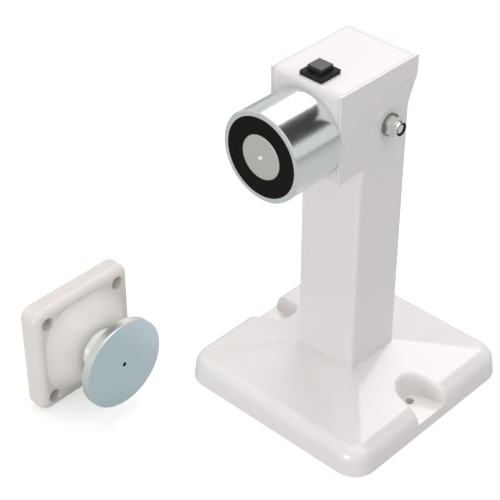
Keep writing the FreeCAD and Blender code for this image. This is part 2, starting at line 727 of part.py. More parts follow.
def make_magnet():
    pot = new_body("pot")
    radius = "magnet / 2"
    waist = f"{radius} - magnet_groove_depth"
    bore = f"{radius} - pot_wall"
    eye = "stud / 2 + bolt_clearance"
    profile = [(eye, "0"), (waist, "0"), (waist, "magnet_groove"),
               (radius, "magnet_groove + magnet_groove_depth"), (radius, "magnet_length - pot_edge"),
               (f"{radius} - pot_edge", "magnet_length"), (bore, "magnet_length"),
               (bore, "pot_floor"), (eye, "pot_floor")]
    turned(pot, outline(pot, "XZ_Plane", profile))
    node(forward(pot), "magnet_pot")

    core = new_body("core")
    thread = "stud / 2 + nest_gap"
    tapped = "(pot_floor + stud_reach)"
    profile = [(thread, "pot_floor"), ("pole / 2", "pot_floor"), ("pole / 2", "magnet_length - pot_edge / 2"),
               ("pole / 2 - pot_edge / 2", "magnet_length"), ("pole_dimple / 2", "magnet_length"),
               ("0", "magnet_length - pole_dimple_depth"), ("0", tapped), (thread, tapped)]
    turned(core, outline(core, "XZ_Plane", profile))
    node(forward(core), "magnet_core")

    hub = "(pole / 2 + nest_gap)"
    drum = f"({hub} + bobbin_wall)"
    flange = f"({bore} - nest_gap)"
    resin_back = "(magnet_length - resin_depth)"
    low, high = "(pot_floor + bobbin_wall)", f"({resin_back} - bobbin_wall)"
    bobbin = new_body("bobbin")
    profile = [(hub, "pot_floor"), (flange, "pot_floor"), (flange, low), (drum, low),
               (drum, high), (flange, high), (flange, resin_back), (hub, resin_back)]
    turned(bobbin, outline(bobbin, "XZ_Plane", profile))
    node(forward(bobbin), "coil_bobbin")

    winding = new_body("winding")
    ring_profile(winding, f"{drum} + nest_gap", f"{flange} - winding_gap", low, high)
    node(forward(winding), "coil_winding")

    resin = new_body("resin")
    ring_profile(resin, hub, flange, resin_back, "magnet_length - resin_recess")
    node(forward(resin), "resin_ring")

    washer = new_body("washer_of_stud")
    back = "(-sheet - stud_washer_thickness)"
    ring_profile(washer, eye, "stud_washer / 2", back, "-sheet")
    node(forward(washer), "magnet_washer")

    stud = new_body("stud_of_magnet")
    pad(stud, circle(stud, "XY_Plane", "stud / 2", offset=back), f"{tapped} - {back} - pole_dimple_depth")
    pad(stud, outline(stud, "XY_Plane", hexagon("stud_flats"), back), "stud_head_height", Reversed=True)
    chamfer_hexagon(stud, "stud_flats", f"({back} - stud_head_height)", -1)
    node(forward(stud), "magnet_bolt")


# Push button: housing with a flange on the cover, travelling cap, return spring and two blades
def make_button():
    housing = new_body("housing_of_button")
    flange = rectangle("button_flange / 2", "button_flange / 2", "button_flange_corner", "0", "button_y")
    pad(housing, outline(housing, "XY_Plane", flange, "head_top"), "button_flange_height")
    trunk = rectangle("button_body / 2", "button_body / 2", None, "0", "button_y")
    pad(housing, outline(housing, "XY_Plane", trunk, "head_top"), "button_body_depth", Reversed=True)
    half_well, flange_top = "button_cap / 2 + button_gap", "head_top + button_flange_height"
    well = rectangle(half_well, half_well, "button_cap_corner", "0", "button_y")
    pocket(housing, outline(housing, "XY_Plane", well, flange_top), "button_flange_height + button_well")
    node(housing, "button_housing")

    cap = new_body("cap_of_button")
    square = rectangle("button_cap / 2", "button_cap / 2", "button_cap_corner", "0", "button_y")
    foot = "head_top - button_cap_depth"
    block = pad(cap, outline(cap, "XY_Plane", square, foot), "button_cap_depth + button_cap_top")
    rounded(cap, block, level("head_top + button_cap_top"), "button_cap_edge")
    node(cap, "button_cap")

    coil = doc.addObject("Part::Helix", "spring_line")
    bind(coil, "Radius", "button_spring / 2")
    bind(coil, "Pitch", "button_pitch")
    bind(coil, "Height", "button_well - button_cap_depth - button_wire - button_spring_gap * 2")
    wire = doc.addObject("Part::RegularPolygon", "spring_section")
    wire.Polygon = 8
    bind(wire, "Circumradius", "button_wire / 2")
    place(wire, x="button_spring / 2", axis=(1, 0, 0), angle="90")
    doc.recompute()
    spring = doc.addObject("Part::Sweep", "spring_of_button")
    spring.Sections = [wire]
    spring.Spine = (coil, [f"Edge{i}" for i, _ in enumerate(coil.Shape.Edges, 1)])
    spring.Solid = True
    spring.Frenet = True
    place(spring, y="button_y", z=f"{BUTTON_WELL_FLOOR} + button_wire / 2 + button_spring_gap")
    node(spring, "button_spring")

    blades = []
    for side in (1, -1):
        blades.append(box("blade", "blade_width", "blade_thickness", "blade_length",
                          f"{side} * blade_spacing / 2 - blade_width / 2", "button_y - blade_thickness / 2",
                          "head_top - button_body_depth - blade_length"))
    node(group("blades_of_button", blades), "button_terminals")


# Terminal block on the cover's underside, behind the magnet's bolt
def make_terminal_block():
    floor = f"({HEAD_BOTTOM} + sheet)"
    front = f"({HEAD_FRONT} + sheet + block_front_gap)"
    body = new_body("block")
    shape = rectangle("block_width / 2", "block_depth / 2", None, "0", f"{front} + block_depth / 2")
    pad(body, outline(body, "XY_Plane", shape, floor), "block_height")
    screws = []
    for side in (1, -1):
        x = f"{side} * block_pitch / 2"
        way = circle(body, "XZ_Plane", "block_wire_hole / 2", x, f"{floor} + block_height / 3", f"-{front}")
        pocket(body, way, "block_depth")
        y = f"{front} + block_depth / 2"
        well = circle(body, "XY_Plane", "block_screw / 2 + nest_gap", x, y, f"{floor} + block_height")
        pocket(body, well, "block_screw_length")
        screws.append(cylinder("clamp_screw", "block_screw", "block_screw_length - pot_edge", x, y,
                               f"{floor} + block_height - block_screw_length"))
    node(body, "terminal_block")
    node(group("screws_of_block", screws), "terminal_screws")


# Keeper: drawn upright about its own middle, with the plate's face at height 0, and turned to face +X.
# Its dome rises from a square to a circle, along half a wave of a cosine, so it has no crease at either end.
DOME_LEVELS = 6


def keeper(item, depth="0"):
    return place(item, f"keeper_x + ({depth})", "keeper_y", KEEPER_Z, (0, 1, 0), "90")


def make_keeper_plate():
    body = new_body("plate_of_keeper")
    half = "keeper_side / 2"
    square = outline(body, "XY_Plane", rectangle(half, half, "keeper_corner"), "-keeper_thickness")
    rounded(body, pad(body, square, "keeper_thickness"), level("0"), "keeper_edge")
    dome = []
    for i in range(DOME_LEVELS + 1):
        share = f"{i} / {DOME_LEVELS}"
        side = f"(dome_side / 2 - {share} * (dome_side / 2 - dome_top))"
        bend = f"(dome_corner - {share} * (dome_corner - dome_top_corner))"
        height = f"(dome_rise + dome_sink) * (1 - cos(180 * {share})) / 2 - dome_sink"
        dome.append(outline(body, "XY_Plane", rectangle(side, side, bend), height))
    loft(body, "AdditiveLoft", dome, ruled=False)
    lip = f"({BALL_CENTRE} + ball_drop - lip_height)"
    bore = "(ball / 2 + seat_gap * 2 + seat_wall)"
    throat = "sqrt(ball * ball / 4 - ball_drop * ball_drop) + lip_gap"
    entry = "sqrt(ball * ball / 4 - (ball_drop - lip_height) * (ball_drop - lip_height)) + lip_gap"
    behind, ahead = "-keeper_thickness - overrun", "dome_rise + overrun"
    socket = [("0", behind), (bore, behind), (bore, lip), (entry, lip),
              (throat, "dome_rise"), (throat, ahead), ("0", ahead)]
    turned(body, outline(body, "XZ_Plane", socket), "Groove")
    recess = circle(body, "XY_Plane", "retainer / 2 + retainer_gap", offset="-keeper_thickness")
    pocket(body, recess, "retainer_step", Reversed=True)
    for a in (1, -1):
        for b in (1, -1):
            x, y = f"{a} * keeper_pitch / 2", f"{b} * keeper_pitch / 2"
            sink = circle(body, "XY_Plane", "keeper_head_hole / 2", x, y, "dome_rise")
            pocket(body, sink, "dome_rise + keeper_head_depth")
            pocket(body, circle(body, "XY_Plane", "keeper_hole / 2", x, y), "keeper_thickness")
    for x, y in retainer_screw_places():
        hole = circle(body, "XY_Plane", "retainer_screw / 2 + nest_gap", x, y, RETAINER_SEAT)
        pocket(body, hole, "retainer_screw_reach", Reversed=True)
    return node(keeper(body), "keeper_plate")


def retainer_screw_places():
    radius = "retainer_screw_circle / 2"
    return [(f"{radius} * cos({turn})", f"{radius} * sin({turn})") for turn in (0, 120, 240)]


def make_ball_joint():
    ball = "ball / 2"
    seat_inner, seat_outer = f"({ball} + seat_gap)", f"({ball} + seat_gap + seat_wall)"
    zone = doc.addObject("Part::Sphere", "seat_zone")
    bind(zone, "Radius", seat_outer)
    bind(zone, "Angle1", f"-asin(seat_back / {seat_outer})")
    bind(zone, "Angle2", f"-asin(seat_front / {seat_outer})")
    keeper(zone, BALL_CENTRE)
    hollow = doc.addObject("Part::Sphere", "seat_hollow")
    bind(hollow, "Radius", seat_inner)
    keeper(hollow, BALL_CENTRE)
    node(cut("seat", zone, hollow), "socket_seat")

    back = f"(disc_stand_off - {BALL_CENTRE} - disc_thickness)"
    sphere = doc.addObject("Part::Sphere", "ball_sphere")
    bind(sphere, "Radius", ball)
    keeper(sphere, BALL_CENTRE)
    shaft = new_body("ball_neck")
    pad(shaft, circle(shaft, "XY_Plane", "neck / 2"), back)
    pad(shaft, circle(shaft, "XY_Plane", "disc_stud / 2", offset=back), "disc_stud_depth")
    keeper(shaft, BALL_CENTRE)
    node(joined("ball_with_neck", [sphere, shaft]), "pivot_ball")

    disc = new_body("disc_of_keeper")
    edge, rim, front = "disc_edge", "disc / 2", f"({back} + disc_thickness)"
    hole, stud = "disc_hole / 2", "disc_stud / 2 + nest_gap"
    profile = [(stud, back), (f"{rim} - {edge}", back), (rim, f"{back} + {edge}"), (rim, f"{front} - {edge}"),
               (f"{rim} - {edge}", front), (hole, front), (hole, f"{back} + disc_stud_depth + nest_gap"),
               (stud, f"{back} + disc_stud_depth + nest_gap")]
    turned(disc, outline(disc, "XZ_Plane", profile))
    node(keeper(disc, BALL_CENTRE), "armature_disc")


def make_retainer():
    body = new_body("plate_of_retainer")
    disc = circle(body, "XY_Plane", "retainer / 2", offset=RETAINER_SEAT)
    pad(body, disc, "retainer_thickness", Reversed=True)
    screws = []
    head_seat = f"({RETAINER_SEAT} - retainer_thickness)"
    for x, y in retainer_screw_places():
        eye = circle(body, "XY_Plane", "retainer_screw / 2 + nest_gap", x, y, RETAINER_SEAT)
        pocket(body, eye, "retainer_thickness")
        sink = circle(body, "XY_Plane", "retainer_screw_head / 2 + nest_gap", x, y, head_seat)
        pocket(body, sink, "retainer_screw_head_height", Reversed=True)
        screw = new_body("screw_of_retainer")
        under = f"({head_seat} + retainer_screw_head_height)"
        head = circle(screw, "XY_Plane", "retainer_screw_head / 2", x, y, under)
        pad(screw, head, "retainer_screw_head_height", Reversed=True)
        reach = "retainer_thickness - retainer_screw_head_height + retainer_screw_reach - pot_edge"
        pad(screw, circle(screw, "XY_Plane", "retainer_screw / 2", x, y, under), reach)
        screws.append(keeper(screw))
    node(keeper(body), "socket_retainer")
    node(group("screws_of_retainer", screws), "retainer_screws")


make_base()
make_column()
make_cover()
make_foot_fixing()
make_cross_bolt()
make_magnet()
make_button()
make_terminal_block()
make_keeper_plate()
make_ball_joint()
make_retainer()
doc.recompute()

failed = [item.Label for item in doc.Objects if {"Invalid", "Error"} & set(item.State)]
failed += [item.Label for item in nodes if item.Shape.isNull() or not item.Shape.isValid()]
if failed:
    raise SystemExit("these did not build: " + ", ".join(failed))

os.makedirs("parts", exist_ok=True)
for item in nodes:
    item.Shape.exportStep(f"parts/{item.Label}.step")
    print(f"{item.Label}: {len(item.Shape.Solids)} solid(s), {item.Shape.Volume / 1000:.3f} cm3")
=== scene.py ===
# %% [markdown]
# An electromagnetic door holder: a pot magnet on a white floor pedestal, and the swivel keeper that the
# door carries. Every piece comes from CAD at its real size and already stands in its place. This script
# gives the pieces their finishes, makes the small screws and the button's spring in full, and sets up a
# camera, a floor and soft studio light. It reads like a notebook: each step is explained first and then
# made in a short cell.

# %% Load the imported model
import json
import math

import bmesh
import bpy
from mathutils import Matrix, Vector


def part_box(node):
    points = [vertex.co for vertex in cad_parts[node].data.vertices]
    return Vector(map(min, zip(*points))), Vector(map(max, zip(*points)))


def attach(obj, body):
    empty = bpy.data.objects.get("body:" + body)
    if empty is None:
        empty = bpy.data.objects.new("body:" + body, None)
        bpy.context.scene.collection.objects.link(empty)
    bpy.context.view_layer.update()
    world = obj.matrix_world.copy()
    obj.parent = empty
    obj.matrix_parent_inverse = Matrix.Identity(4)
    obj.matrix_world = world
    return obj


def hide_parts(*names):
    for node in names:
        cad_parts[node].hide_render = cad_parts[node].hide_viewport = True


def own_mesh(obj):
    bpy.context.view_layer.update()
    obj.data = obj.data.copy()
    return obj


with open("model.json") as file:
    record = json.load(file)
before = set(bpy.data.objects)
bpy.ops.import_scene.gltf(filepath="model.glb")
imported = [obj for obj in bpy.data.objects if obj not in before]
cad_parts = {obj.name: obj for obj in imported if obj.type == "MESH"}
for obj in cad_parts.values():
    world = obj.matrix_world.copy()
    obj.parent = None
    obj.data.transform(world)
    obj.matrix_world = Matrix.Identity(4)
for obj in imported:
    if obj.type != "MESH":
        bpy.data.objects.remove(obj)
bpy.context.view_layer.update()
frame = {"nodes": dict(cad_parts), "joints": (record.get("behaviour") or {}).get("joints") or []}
nodes = frame["nodes"]

# %% [markdown]
# The camera stands where the photographer stood: to the right of the magnet's front and well above it,
# with a long lens. Its place is given as two angles, a distance and the point that it looks at. A camera's
# matrix holds its three axes as columns, so the axes are worked out from the angles and written straight
# into the matrix.

# %% Camera
AZIMUTH = math.radians(43.52)
ELEVATION = math.radians(36.53)
ROLL = math.radians(-0.1)
AIM = Vector((-0.05534, -0.02128, 0.07154))
DISTANCE = 0.8865
LENS = 112.2
SENSOR = 36

outward = Vector((math.sin(AZIMUTH), -math.cos(AZIMUTH), 0))
back = outward * math.cos(ELEVATION) + Vector((0, 0, math.sin(ELEVATION)))
level = Vector((math.cos(AZIMUTH), math.sin(AZIMUTH), 0))
steep = back.cross(level)
right = level * math.cos(ROLL) + steep * math.sin(ROLL)
up = steep * math.cos(ROLL) - level * math.sin(ROLL)
lens = bpy.data.cameras.new("product_camera")
lens.lens = LENS
lens.sensor_width = SENSOR
camera = bpy.data.objects.new("product_camera", lens)
turned = Matrix((right, up, back)).transposed().to_4x4()
camera.matrix_world = Matrix.Translation(AIM + back * DISTANCE) @ turned
bpy.context.scene.collection.objects.link(camera)
bpy.context.scene.camera = camera
bpy.context.scene.view_settings.view_transform = "Standard"
print("camera at", [round(v, 3) for v in camera.matrix_world.translation])

# %% [markdown]
# Shader maths reads best as plain sums. A Wire stands for one socket of a node tree: adding or multiplying
# two Wires adds a Math node, and the method called node adds any other node from its type, its settings
# and the values or links of its sockets. So a pattern can be written as a line of Python. The same class
# builds the Geometry Nodes trees further down.

# %% Sums on shader sockets
class Wire:
    """One output of a node, which can be added, multiplied and so on."""

    def __init__(self, tree, socket):
        self.tree = tree
        self.socket = socket

    def node(self, kind, settings=None, links=None, out=0):
        item = self.tree.nodes.new(kind)
        settings = dict(settings or {})
        stops = settings.pop("stops", None)
        for name, given in settings.items():
            setattr(item, name, given)
        if stops:
            for stop, (place, colour) in zip(item.color_ramp.elements, stops):
                stop.position = place
                stop.color = colour
        for key, given in (links or {}).items():
            if isinstance(given, Wire):
                self.tree.links.new(given.socket, item.inputs[key])
            else:
                item.inputs[key].default_value = given
        return Wire(self.tree, item.outputs[out])

    def maths(self, operation, *values):
        return self.node("ShaderNodeMath", {"operation": operation}, dict(enumerate(values)))

    def __add__(self, other):
        return self.maths("ADD", self, other)

    def __sub__(self, other):
        return self.maths("SUBTRACT", self, other)

    def __rsub__(self, other):
        return self.maths("SUBTRACT", other, self)

    def __mul__(self, other):
        return self.maths("MULTIPLY", self, other)

    def __truediv__(self, other):
        return self.maths("DIVIDE", self, other)

    def __pow__(self, other):
        return self.maths("POWER", self, other)

    __radd__ = __add__
    __rmul__ = __mul__


print("shader sums ready")

# %% [markdown]
# A Finish is one material while it is being made. It offers the few patterns that the finishes share: soft
# noise, a blend of two colours, a change of colour at a measured limit, and relief. All patterns use the
# piece's own coordinates in metres, so their sizes are real sizes.

# %% Tools for the finishes
X, Y, Z = range(3)
SOFT_EDGE = 0.00025
MIX_FACTOR, MIX_FIRST, MIX_SECOND, MIX_COLOUR = 0, 6, 7, 2


class Finish:
    """A material under construction: its shader, and the Wire that its patterns start from."""

    def __init__(self, name, **fixed):
        self.material = bpy.data.materials.new(name)
        self.material.use_nodes = True
        self.tree = self.material.node_tree
        self.shader = self.tree.nodes["Principled BSDF"]
        for socket, given in fixed.items():
            self.shader.inputs[socket.replace("_", " ")].default_value = given
        coordinates = self.tree.nodes.new("ShaderNodeTexCoord")
        self.place = Wire(self.tree, coordinates.outputs["Object"])

    def axes(self, centre):
        """The three coordinates, counted from a centre."""
        settings = {"operation": "SUBTRACT"}
        moved = self.place.node("ShaderNodeVectorMath", settings, {0: self.place, 1: centre})
        split = self.tree.nodes.new("ShaderNodeSeparateXYZ")
        self.tree.links.new(moved.socket, split.inputs[0])
        return [Wire(self.tree, output) for output in split.outputs]

    def noise(self, scale, detail=2.0, stretch=(1, 1, 1)):
        """Soft noise from 0 to 1. Scale counts its lumps in a metre."""
        mapped = self.place.node("ShaderNodeMapping", None, {"Vector": self.place, "Scale": stretch})
        return mapped.node("ShaderNodeTexNoise", None, {"Vector": mapped, "Scale": scale, "Detail": detail})

    def blend(self, factor, first, second):
        """A colour between two colours."""
        stops = ((0, (*first, 1)), (1, (*second, 1)))
        return factor.node("ShaderNodeValToRGB", {"stops": stops}, {"Fac": factor})

    def change(self, measure, limit, below, above):
        """One colour where a measure is below a limit and another above it, with a short soft edge."""
        factor = (measure - limit) / SOFT_EDGE
        links = {MIX_FACTOR: factor, MIX_FIRST: below, MIX_SECOND: above}
        return factor.node("ShaderNodeMix", {"data_type": "RGBA"}, links, MIX_COLOUR)

    def feed(self, socket, wire):
        self.tree.links.new(wire.socket, self.shader.inputs[socket])

    def relief(self, height, depth, strength):
        """Bumps: height runs from 0 to 1 and stands for depth in metres."""
        links = {"Strength": strength, "Distance": depth, "Height": height}
        self.feed("Normal", height.node("ShaderNodeBump", None, links))


print("finish tools ready")

# %% [markdown]
# The floor is a pale sheet that the part stands on. A photographer's white background is brighter than any
# object, so the floor adds a little light of its own, but only for rays that come from the camera: it keeps
# the part's soft shadow and doesn't light the part. The world is white where camera rays meet it, a little
# less bright in mirror reflections, and a softer grey as a source of light.

# %% Floor and world
FLOOR_SIZE = 12
FLOOR_COLOUR = (0.62, 0.62, 0.62, 1)
FLOOR_GLOW = 0.5
AMBIENT = 0.5
REFLECTED = 0.76
WHITE = (1, 1, 1, 1)


def new_object(name, data):
    item = bpy.data.objects.new(name, data)
    bpy.context.scene.collection.objects.link(item)
    return item


def flat_square(name, size):
    """A square sheet about the origin."""
    mesh = bpy.data.meshes.new(name)
    half = size / 2
    corners = [(-half, -half, 0), (half, -half, 0), (half, half, 0), (-half, half, 0)]
    mesh.from_pydata(corners, [], [(0, 1, 2, 3)])
    return new_object(name, mesh)


floor = flat_square("pale_floor", FLOOR_SIZE)
pale = Finish("pale_floor", Base_Color=FLOOR_COLOUR, Roughness=0.9, Emission_Strength=1.0)
ray = pale.tree.nodes.new("ShaderNodeLightPath")
seen = Wire(pale.tree, ray.outputs["Is Camera Ray"])
pale.feed("Emission Color", seen * FLOOR_GLOW)
floor.data.materials.append(pale.material)

world = bpy.data.worlds.new("studio")
world.use_nodes = True
bpy.context.scene.world = world
sky = world.node_tree
ray = sky.nodes.new("ShaderNodeLightPath")
camera_ray = Wire(sky, ray.outputs["Is Camera Ray"])
glossy_ray = Wire(sky, ray.outputs["Is Glossy Ray"])
clear_ray = Wire(sky, ray.outputs["Is Transmission Ray"])
mirrored = glossy_ray.maths("MAXIMUM", glossy_ray, clear_ray)
strength = camera_ray + (1 - camera_ray) * (mirrored * REFLECTED + (1 - mirrored) * AMBIENT)
sky.nodes["Background"].inputs["Color"].default_value = WHITE
sky.links.new(strength.socket, sky.nodes["Background"].inputs["Strength"])
print("floor and world ready")

# %% [markdown]
# Four soft boxes light the part. The overhead box makes the tops the brightest faces, the right box and the
# low front box fill the sides, and the rear box shows mostly as a reflection: it is the white band on the
# zinc cup and the bright right slope of the glossy foot. Two dark cards show only in reflections. One draws
# the dark band that makes the cup look round, and the other ends the bright area on the foot at its ridge.

# %% Lights
CARD_COLOUR = (0.01, 0.01, 0.01, 1)


def facing(place, aim, front):
    """The rotation that turns a thing's front axis from its place to a point."""
    return (Vector(aim) - Vector(place)).to_track_quat(front, "Y").to_euler()


def soft_box(name, place, aim, size, power):
    lamp = bpy.data.lights.new(name, "AREA")
    lamp.shape = "SQUARE"
    lamp.size = size
    lamp.energy = power
    item = new_object(name, lamp)
    item.location = place
    item.rotation_euler = facing(place, aim, "-Z")


def dark_card(name, place, aim, size):
    card = flat_square(name, size)
    card.location = place
    card.rotation_euler = facing(place, aim, "Z")
    for ray_kind in ("camera", "diffuse", "transmission", "shadow"):
        setattr(card, "visible_" + ray_kind, False)
    card.data.materials.append(Finish(name, Base_Color=CARD_COLOUR, Roughness=1.0).material)


PART = (-0.02, -0.02, 0.1)
CUP = (0.015, -0.057, 0.203)
FOOT = (0, -0.045, 0.02)
soft_box("overhead_box", place=(-0.2, 0, 1.25), aim=PART, size=1.0, power=3.9)
soft_box("right_box", place=(0.75, 0, 1.0), aim=PART, size=0.8, power=2.6)
soft_box("front_box", place=(0.1, -1.3, 0.15), aim=PART, size=0.6, power=6.2)
soft_box("rear_box", place=(-0.40, 0.84, 1.19), aim=CUP, size=0.8, power=4.7)
dark_card("cup_card", place=(0.42, 0.58, 0.86), aim=CUP, size=0.68)
dark_card("foot_card", place=(-0.66, 0.14, 0.88), aim=FOOT, size=0.8)

# %% [markdown]
# The foot is a glossy white moulding. Injection-moulded plastic is never quite flat: its skin has a slow
# wave from cooling, which bends the reflections, so the relief is a low noise that is wide and very shallow.

# %% Finish of the moulded foot
PLASTIC_IOR = 1.5


def glossy_moulding():
    finish = Finish("glossy_white_moulding", Coat_Weight=0.35, Coat_Roughness=0.04, IOR=PLASTIC_IOR)
    wave = finish.noise(scale=45)
    grain = finish.noise(scale=700, detail=3)
    finish.feed("Base Color", finish.blend(wave, (0.84, 0.805, 0.795), (0.88, 0.845, 0.835)))
    finish.feed("Roughness", 0.13 + grain * 0.1)
    finish.relief(wave + grain * 0.04, depth=0.0006, strength=0.5)
    return finish.material


# %% [markdown]
# The column and its cover are folded steel sheet with white paint. Sprayed paint dries with a fine orange
# peel, about a millimetre from lump to lump. It is shallow, so it only breaks up the edges of reflections.

# %% Finish of the painted sheet
def white_paint():
    finish = Finish("white_paint", IOR=PLASTIC_IOR)
    peel = finish.noise(scale=900)
    cloud = finish.noise(scale=18)
    finish.feed("Base Color", finish.blend(cloud, (0.815, 0.787, 0.78), (0.845, 0.817, 0.81)))
    finish.feed("Roughness", 0.24 + peel * 0.12)
    finish.relief(peel, depth=0.00004, strength=0.6)
    return finish.material


# %% [markdown]
# The magnet's cup, the cross bolt and its nut are turned steel with bright zinc. A lathe leaves fine lines
# that run round the axis, so the pattern is noise that is stretched until it only changes along the
# magnet's axis. Zinc has a faint blue cast and slow patches where the plating is thicker. The flat faces of
# the pole and of the keeper's disc have rings instead. The pole's dimple gets a painted highlight, the
# disc's rim gets a painted highlight, and the hole in the disc's middle gets painted shade.

# %% Finishes of the zinc
MAGNET_LOW, MAGNET_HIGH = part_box("magnet_pot")
MAGNET_AXIS = (MAGNET_LOW + MAGNET_HIGH) / 2
# Colour of the painted highlight on the pole's dimple and the disc's rim; SHADE is the colour of painted
# shade in holes.
ZINC_HIGHLIGHT = (0.78, 0.78, 0.75, 1)
SHADE = (0.01, 0.01, 0.01, 1)
TOOL_MARK = 0.00001
RINGS_IN_METRE = 3000


def bright_zinc():
    finish = Finish("bright_zinc", Metallic=1.0)
    lines = finish.noise(scale=1, stretch=(40, 5200, 40))
    patch = finish.noise(scale=55, detail=3)
    finish.feed("Base Color", finish.blend(patch, (0.74, 0.785, 0.775), (0.82, 0.855, 0.845)))
    finish.feed("Roughness", 0.14 + lines * 0.06 + patch * 0.06)
    finish.relief(lines, depth=TOOL_MARK, strength=0.5)
    return finish.material


def turned_zinc(name, centre, across, tints, rough, middle, rim=None):
    """Zinc on a flat turned face: rings about a centre, with the two axes that lie in the face.

    The middle is a radius and the colour painted inside it, a painted highlight or painted shade. From a rim
    radius on, the edge gets a painted highlight."""
    finish = Finish(name, Metallic=1.0)
    axes = finish.axes(centre)
    u, v = axes[across[0]], axes[across[1]]
    radius = (u * u + v * v) ** 0.5
    links = {"W": radius * RINGS_IN_METRE, "Scale": 1.0, "Detail": 2.0}
    rings = radius.node("ShaderNodeTexNoise", {"noise_dimensions": "1D"}, links)
    patch = finish.noise(scale=38, detail=4)
    colour = finish.blend(patch, *tints)
    if rim:
        # Painted highlight on the disc's rim.
        colour = finish.change(radius, rim, colour, ZINC_HIGHLIGHT)
    # The middle gets a painted highlight or painted shade.
    finish.feed("Base Color", finish.change(radius, middle[0], middle[1], colour))
    finish.feed("Roughness", rough + rings * 0.08 + patch * 0.1)
    finish.relief(rings, depth=TOOL_MARK, strength=0.4)
    return finish.material


# %% [markdown]
# Black parts: the potting resin is poured and sets with a faint unevenness. The push button is moulded with
# a fine texture, which is matt on its housing and smoother on the cap.

# %% Finishes of the black parts
def black_resin():
    finish = Finish("black_resin", IOR=PLASTIC_IOR, Specular_IOR_Level=0.06)
    pour = finish.noise(scale=160)
    speck = finish.noise(scale=2200)
    finish.feed("Base Color", finish.blend(speck, (0.004, 0.003, 0.003), (0.008, 0.007, 0.006)))
    finish.feed("Roughness", 0.34 + pour * 0.2)
    finish.relief(pour + speck * 0.1, depth=0.0001, strength=0.5)
    return finish.material


def black_moulding(name, rough, shine):
    finish = Finish(name, IOR=PLASTIC_IOR, Specular_IOR_Level=shine)
    spark = finish.noise(scale=3500)
    cloud = finish.noise(scale=200)
    finish.feed("Base Color", finish.blend(cloud, (0.011, 0.010, 0.011), (0.019, 0.018, 0.020)))
    finish.feed("Roughness", rough + spark * 0.14)
    finish.relief(spark, depth=0.00003, strength=0.5)
    return finish.material


# %% [markdown]
# The keeper is moulded in a warmer white with a satin skin, and its ball is acetal, which is a little
# yellower and more polished. Both use the same recipe with other colours, and so does the nylon inside.
# Plain metal has short streaks from drawing or rolling, and the winding has a ridge for each turn of wire.

# %% Finishes of the keeper and of the hidden pieces
WINDING_RADIANS_IN_METRE = 9000


def satin_plastic(name, dark, light, rough, lump=400, hole=None):
    """Satin plastic. A hole is the centre and radius of a drilled hole along X, whose bottom gets painted
    shade.
    """
    finish = Finish(name, IOR=PLASTIC_IOR)
    grain = finish.noise(lump, detail=3)
    cloud = finish.noise(scale=30)
    colour = finish.blend(cloud, dark, light)
    if hole:
        # Painted shade at the bottom of the hole.
        _, y, z = finish.axes(hole[0])
        colour = finish.change((y * y + z * z) ** 0.5, hole[1], SHADE, colour)
    finish.feed("Base Color", colour)
    finish.feed("Roughness", rough + grain * 0.12)
    finish.relief(cloud + grain * 0.05, depth=0.0003, strength=0.4)
    return finish.material


def plain_metal(name, dark, light, rough):
    finish = Finish(name, Metallic=1.0)
    streak = finish.noise(scale=1, stretch=(900, 900, 3000))
    patch = finish.noise(scale=120, detail=3)
    finish.feed("Base Color", finish.blend(patch, dark, light))
    finish.feed("Roughness", rough + streak * 0.12)
    finish.relief(streak, depth=TOOL_MARK, strength=0.4)
    return finish.material


def wound_copper():
    """Enamelled wire: fine ridges along the magnet's axis, one for each turn."""
    finish = Finish("wound_copper", Metallic=1.0)
    phase = finish.axes(MAGNET_AXIS)[Y] * WINDING_RADIANS_IN_METRE
    turns = phase.maths("SINE", phase) * 0.5 + 0.5
    finish.feed("Base Color", finish.blend(turns, (0.30, 0.10, 0.05), (0.62, 0.28, 0.15)))
    finish.feed("Roughness", 0.25 + turns * 0.1)
    finish.relief(turns, depth=0.0002, strength=0.8)
    return finish.material


# %% [markdown]
# Each CAD piece keeps its shape and gets its finish in its material slot. What isn't named here is plain
# steel.

# %% Give every piece its finish
DISC_LOW, DISC_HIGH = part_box("armature_disc")
DISC_AXIS = (DISC_LOW + DISC_HIGH) / 2
DISC_EDGE = 0.0005
DISC_RIM = (DISC_HIGH.z - DISC_LOW.z) / 2 - DISC_EDGE
DISC_HOLE = 0.0012
POLE_DIMPLE = 0.0015

zinc = bright_zinc()
# The washers are a darker zinc: painted shade for the dark gap between the washers and the nut.
washer_shade_zinc = plain_metal("washer_shade_zinc", (0.22, 0.22, 0.20), (0.32, 0.32, 0.29), rough=0.3)
black = black_moulding("black_moulding", rough=0.5, shine=0.2)
smooth_black = black_moulding("smooth_black_moulding", rough=0.16, shine=0.5)
paint = white_paint()
steel = plain_metal("plain_steel", (0.42, 0.42, 0.43), (0.55, 0.55, 0.56), rough=0.28)
brass = plain_metal("plain_brass", (0.60, 0.44, 0.20), (0.72, 0.55, 0.28), rough=0.25)
nylon = satin_plastic("natural_nylon", (0.70, 0.68, 0.61), (0.76, 0.74, 0.68), rough=0.35)
warm_white = satin_plastic("warm_white_moulding", (0.795, 0.75, 0.705), (0.835, 0.795, 0.755), rough=0.3)
# The ball gets painted shade where the disc's hole shows it.
acetal = satin_plastic("white_acetal", (0.89, 0.86, 0.82), (0.93, 0.90, 0.86), rough=0.18, lump=900,
                       hole=(DISC_AXIS, DISC_HOLE))
pole_tints = ((0.60, 0.60, 0.56), (0.69, 0.69, 0.65))
# The pole's dimple gets a painted highlight.
pole_face = turned_zinc("pole_zinc", MAGNET_AXIS, (X, Z), pole_tints, rough=0.3,
                        middle=(POLE_DIMPLE, ZINC_HIGHLIGHT))
disc_tints = ((0.57, 0.71, 0.76), (0.66, 0.78, 0.82))
# The disc gets painted shade in its hole and a painted highlight on its rim.
disc_face = turned_zinc("disc_zinc", DISC_AXIS, (Y, Z), disc_tints, rough=0.3,
                        middle=(DISC_HOLE, SHADE), rim=DISC_RIM)

